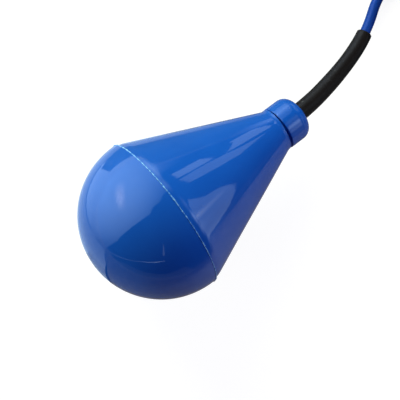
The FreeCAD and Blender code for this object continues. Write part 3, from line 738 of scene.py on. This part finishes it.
def spot(across, along, height=0.0):
    """A place from the picture's right and up directions and the height over the floor, in metres."""
    return Vector((nose_centre.x, nose_centre.y, height)) + right * across + up * along


def bearing(angle, height, distance=1.0):
    """A place that far from the nose at an angle round it, counterclockwise from the picture's right."""
    turn = math.radians(angle)
    return spot(distance * math.cos(turn), distance * math.sin(turn), height)


def facing(angle, rise):
    """The direction at an angle counterclockwise from the picture's right, that many degrees above level."""
    turn, tilt = math.radians(angle), math.radians(rise)
    return (right * math.cos(turn) + up * math.sin(turn)) * math.cos(tilt) + Vector((0, 0, math.sin(tilt)))


def flat_piece(name, corners, made):
    """A flat or slightly folded sheet of the studio, facing the float, which only mirrors can see."""
    shape = bmesh.new()
    face = shape.faces.new([shape.verts.new(corner) for corner in corners])
    face.normal_update()
    if face.normal.dot(nose_centre - face.calc_center_median()) < 0:
        face.normal_flip()
    bmesh.ops.triangulate(shape, faces=shape.faces)
    mesh = bpy.data.meshes.new(name)
    shape.to_mesh(mesh)
    shape.free()
    mesh.materials.append(made)
    piece = bpy.data.objects.new(name, mesh)
    bpy.context.scene.collection.objects.link(piece)
    piece.visible_camera = False
    piece.visible_diffuse = False
    piece.visible_shadow = False


def glowing(name, tint):
    """A material that glows on its front and is clear behind, with its tree and the light's node."""
    made, tree, shader = new_material(name)
    tree.nodes.remove(shader)
    light = node(tree, "ShaderNodeEmission", Color=(*tint, 1))
    clear = tree.nodes.new("ShaderNodeBsdfTransparent")
    added = tree.nodes.new("ShaderNodeAddShader")
    tree.links.new(added.inputs[0], light.outputs[0])
    tree.links.new(added.inputs[1], clear.outputs[0])
    behind = tree.nodes.new("ShaderNodeNewGeometry").outputs["Backfacing"]
    chosen = node(tree, "ShaderNodeMixShader", [(0, behind), (1, added.outputs[0]), (2, clear.outputs[0])])
    tree.links.new(tree.nodes["Material Output"].inputs["Surface"], chosen.outputs[0])
    made.cycles.emission_sampling = "NONE"
    return made, tree, light


def panel(name, corners, glow, tint):
    """An evenly bright sheet."""
    made, _, light = glowing(name, tint)
    light.inputs["Strength"].default_value = glow
    flat_piece(name, corners, made)


def fading_panel(name, corners, glow, tint, centre, reach):
    """A sheet whose light fades out from a centre to the reach."""
    made, tree, light = glowing(name, tint)
    place = tree.nodes.new("ShaderNodeNewGeometry").outputs["Position"]
    away = node(tree, "ShaderNodeVectorMath", [(0, place)], operation="DISTANCE")
    away.inputs[1].default_value = centre
    fade = shares(tree, away.outputs["Value"], glow, 0, 0, reach)
    fade.node.interpolation_type = "SMOOTHSTEP"
    tree.links.new(light.inputs["Strength"], fade)
    flat_piece(name, corners, made)


def sky_panel(name, corners, rim_glow, heart_glow):
    """A part of the bright sky, whose light grows towards its heart as seen from the nose."""
    made, tree, light = glowing(name, SKY)
    place = tree.nodes.new("ShaderNodeNewGeometry").outputs["Position"]
    outward = node(tree, "ShaderNodeVectorMath", [(0, place)], operation="SUBTRACT")
    outward.inputs[1].default_value = nose_centre
    direction = node(tree, "ShaderNodeVectorMath", [(0, outward.outputs[0])], operation="NORMALIZE")
    nearness = node(tree, "ShaderNodeVectorMath", [(0, direction.outputs[0])], operation="DOT_PRODUCT")
    nearness.inputs[1].default_value = (bearing(*SKY_HEART) - nose_centre).normalized()
    strength = shares(tree, nearness.outputs["Value"], rim_glow, heart_glow, 0.5, 0.95)
    tree.links.new(light.inputs["Strength"], strength)
    flat_piece(name, corners, made)


def glow_spot(name, place, target, glow, reach, tint):
    """A round soft light in a square sheet turned to its target."""
    ahead = (target - place).normalized()
    side = ahead.cross(Vector((0, 0, 1))).normalized() * reach
    rise = side.cross(ahead).normalized() * reach
    corners = [place - side - rise, place + side - rise, place + side + rise, place - side + rise]
    fading_panel(name, corners, glow, tint, place, reach)


def matt(name, colour):
    """A plain matt material for a sheet on the floor."""
    made, _, shader = new_material(name)
    shader.inputs["Base Color"].default_value = (*colour, 1)
    return made


def level(corners, height):
    """Places at one height for (right, up) corners."""
    return [spot(across, along, height) for across, along in corners]


def shifted(corners, across, along):
    return [(x + across, y + along) for x, y in corners]


def strip(line, half_height=0.01):
    """The outline of a thin strip along (bearing, height) places."""
    return shifted(line, 0, half_height) + shifted(line[::-1], 0, -half_height)


def soft_lamp(name, place, target, width, height, power, tint):
    """A soft lamp for the shading alone; mirrors don't show it."""
    light = bpy.data.lights.new(name, "AREA")
    light.shape = "RECTANGLE"
    light.size, light.size_y = width, height
    light.energy = power
    light.color = tint
    made = bpy.data.objects.new(name, light)
    bpy.context.scene.collection.objects.link(made)
    made.location = place
    made.rotation_euler = (target - place).to_track_quat("-Z", "Y").to_euler()
    made.visible_glossy = False


# Many corners and directions in the next five functions are rounded from places that a program traced from
# the photograph's reflections. They should be plain shapes set by hand.
def bright_side():
    """A bright ceiling fills the upper left, with walls under it and sheets on the floor before them."""
    ceiling_edge = [(0.3, 0.85), (0.05, 0.45), (0, 0.3), (-0.15, 0.2), (-0.2, 0.05), (-1.7, -0.9)]
    sheet_edge = [(-0.1, 0.08), (-0.14, 0.03), (-0.25, -0.05), (-0.5, -0.3)]
    hem_edge = [(-0.35, -0.23), (-0.15, -0.13), (-0.04, -0.05)]
    foot = [bearing(angle, 0, FAR) for angle in (-150, 175, 145, 110, 80)]
    top = [place + Vector((0, 0, CEILING)) for place in foot]
    sky_panel("ceiling", level(ceiling_edge, CEILING) + top, *SKY_GLOW)
    for index in range(len(foot) - 1):
        corners = [foot[index], foot[index + 1], top[index + 1], top[index]]
        sky_panel("wall_%d" % index, corners, *SKY_GLOW)
    sky_panel("far_sheet", level(sheet_edge, SHEET_LIFT) + foot, 0.35, 3.0)
    panel("near_sheet", level(sheet_edge + hem_edge + [(0, 0.06)], SHEET_LIFT), 0.85, SKY)
    upper_sheet = level([(-0.1, 0.08), (-0.08, 0.1), (0.09, 0.1), (0, 0.06)], SHEET_LIFT)
    fading_panel("upper_sheet", upper_sheet, 0.65, SKY, spot(-0.09, 0.08, SHEET_LIFT), 0.26)
    # A dark sheet on the floor at the picture's top, seen only in mirrors: painted shade on the mirrored
    # floor.
    painted_shade_patch = [(-0.12, 0.09), (0.05, 0.11), (0.25, 0.05), (0.7, 0.9), (0.1, 1.2), (-0.3, 0.25)]
    flat_piece("painted_shade_patch", level(painted_shade_patch, MAT_LIFT), matt("painted_shade_patch", (0.06, 0.08, 0.09)))
    # Thin dark strips, seen only in mirrors, along the line between the near and far sheets and along the
    # near sheet's lower edge: painted shade lines on the mirrored floor.
    inner_edge = sheet_edge[:-1]
    painted_shade_line = shifted(inner_edge, 0, 0.002) + shifted(inner_edge[::-1], 0.003, -0.004)
    flat_piece("painted_shade_line", level(painted_shade_line, MAT_LIFT), dark)
    painted_shade_border = hem_edge + shifted(hem_edge[::-1], 0.002, -0.004)
    flat_piece("painted_shade_border", level(painted_shade_border, MAT_LIFT), dark)


def pale_shapes():
    """Shapes at the right and beyond the gland: (bearing, height) corners a metre from the nose."""
    shapes = [
        ("doorway", 0.65, [(34, 0.45), (24, 0.38), (-5, 0), (-15, 0), (0, 0.27), (22, 0.46)]),
        ("window_a", 0.9, [(67, 0.07), (52, 0.21), (55, 0.28), (66, 0.13)]),
        ("window_b", 0.7, [(56, 0.3), (46, 0.26), (40, 0.33), (48, 0.4), (57, 0.36)]),
        ("window_c", 1.0, [(65, 0.21), (57, 0.28), (59, 0.34), (66, 0.27)]),
        ("rail_far", 0.35, strip([(-147, 0.03), (-135, 0.2), (-112, 0.47)])),
        ("rail", 1.4, strip([(-112, 0.47), (-85, 0.6)])),
        ("post", 0.45, [(-87, 0.8), (-85, 1.35), (-83, 1.35), (-84, 0.8)]),
        ("kerb", 0.07, [(-140, 0), (-125, 0.17), (-85, 0.17), (-65, 0.24), (-58, 0)]),
    ]
    for name, glow, corners in shapes:
        panel(name, [bearing(angle, height) for angle, height in corners], glow * SHAPE_GLOW, PALE_BLUE)
    glow_spot("doorway_glow", bearing(12, 0.33, 0.98), nose_centre, 1.5, 0.09, (0.8, 0.9, 1.0))


def right_side():
    """A dim sheet and a dark one on the floor at the right."""
    sheet = [(-0.1, -0.05), (0, -0.9), (0.5, -0.9), (0.8, -0.2), (0.8, 0.05), (0.1, 0.05)]
    fading_panel("right_sheet", level(sheet, SHEET_LIFT), 0.26, (1, 1, 1), spot(0.25, -0.12), 0.3)
    skirting = [(0.4, 0), (0.65, -0.1), (0.95, -0.1), (0.95, 0.4), (0.35, 0.3)]
    flat_piece("skirting", level(skirting, MAT_LIFT), dark)


def left_light():
    """A soft light at the upper left, before the bright sky."""
    for step in range(-2, 3):
        glow_spot("soft_spot", bearing(155 + 5 * step, 0.6 + 0.08 * step, 0.98), nose_centre,
                  1.6 - 0.45 * abs(step), 0.2, (1, 0.95, 0.9))


def near_lights():
    """Soft lights close to the shoulder and to the gland nut, as (angle, rise, glow)."""
    shoulder = spot(0, 0.025, 0.092)
    for angle, rise, glow in ((100, 10, 1.6), (90, 20, 2.0), (70, 40, 1.2)):
        place = shoulder + facing(angle, rise) * NEAR
        glow_spot("shoulder_light", place, shoulder, glow, 0.075, PALE_BLUE)
    nut_middle = axis_point((nut_z + nut_end_z) / 2)
    for angle, rise, glow in ((100, 20, 1.3), (25, 55, 0.7), (-5, 45, 3.0), (-20, 30, 1.5), (-30, 10, 0.5),
                              (70, -5, 2.0), (50, 0, 1.0), (20, 0, 0.9)):
        place = nut_middle + facing(angle, rise) * NEAR
        glow_spot("nut_light", place, nut_middle, glow, 0.07, (0.66, 0.92, 1.3))


def view():
    """The camera, looking straight down."""
    camera_data = bpy.data.cameras.new("camera")
    camera_data.lens = LENS
    camera_data.sensor_width = SENSOR
    camera = bpy.data.objects.new("camera", camera_data)
    bpy.context.scene.collection.objects.link(camera)
    camera.location = nose_centre + right * CAMERA_RIGHT + up * CAMERA_UP + Vector((0, 0, CAMERA_ABOVE))
    camera.rotation_euler = (0, 0, -math.radians(VIEW_TURN))
    bpy.context.scene.camera = camera
    bpy.context.scene.view_settings.view_transform = "Standard"


floor()
surround()
dark = matt("dark_mat", (0.005, 0.005, 0.006))
soft_lamp("soft_key", spot(-0.45, 1.27, 0.6), nose_centre, 1.2, 0.9, 33, (0.93, 1, 0.73))
soft_lamp("right_fill", spot(0.6, 0.12, 0.35), nose_centre, 0.4, 0.4, 1.8, (0.9, 0.93, 1.0))
soft_lamp("left_fill", spot(-1.3, -0.1, 0.25), nose_centre, 0.9, 0.4, 11.5, (1, 1, 0.8))
bright_side()
pale_shapes()
right_side()
left_light()
near_lights()
view()
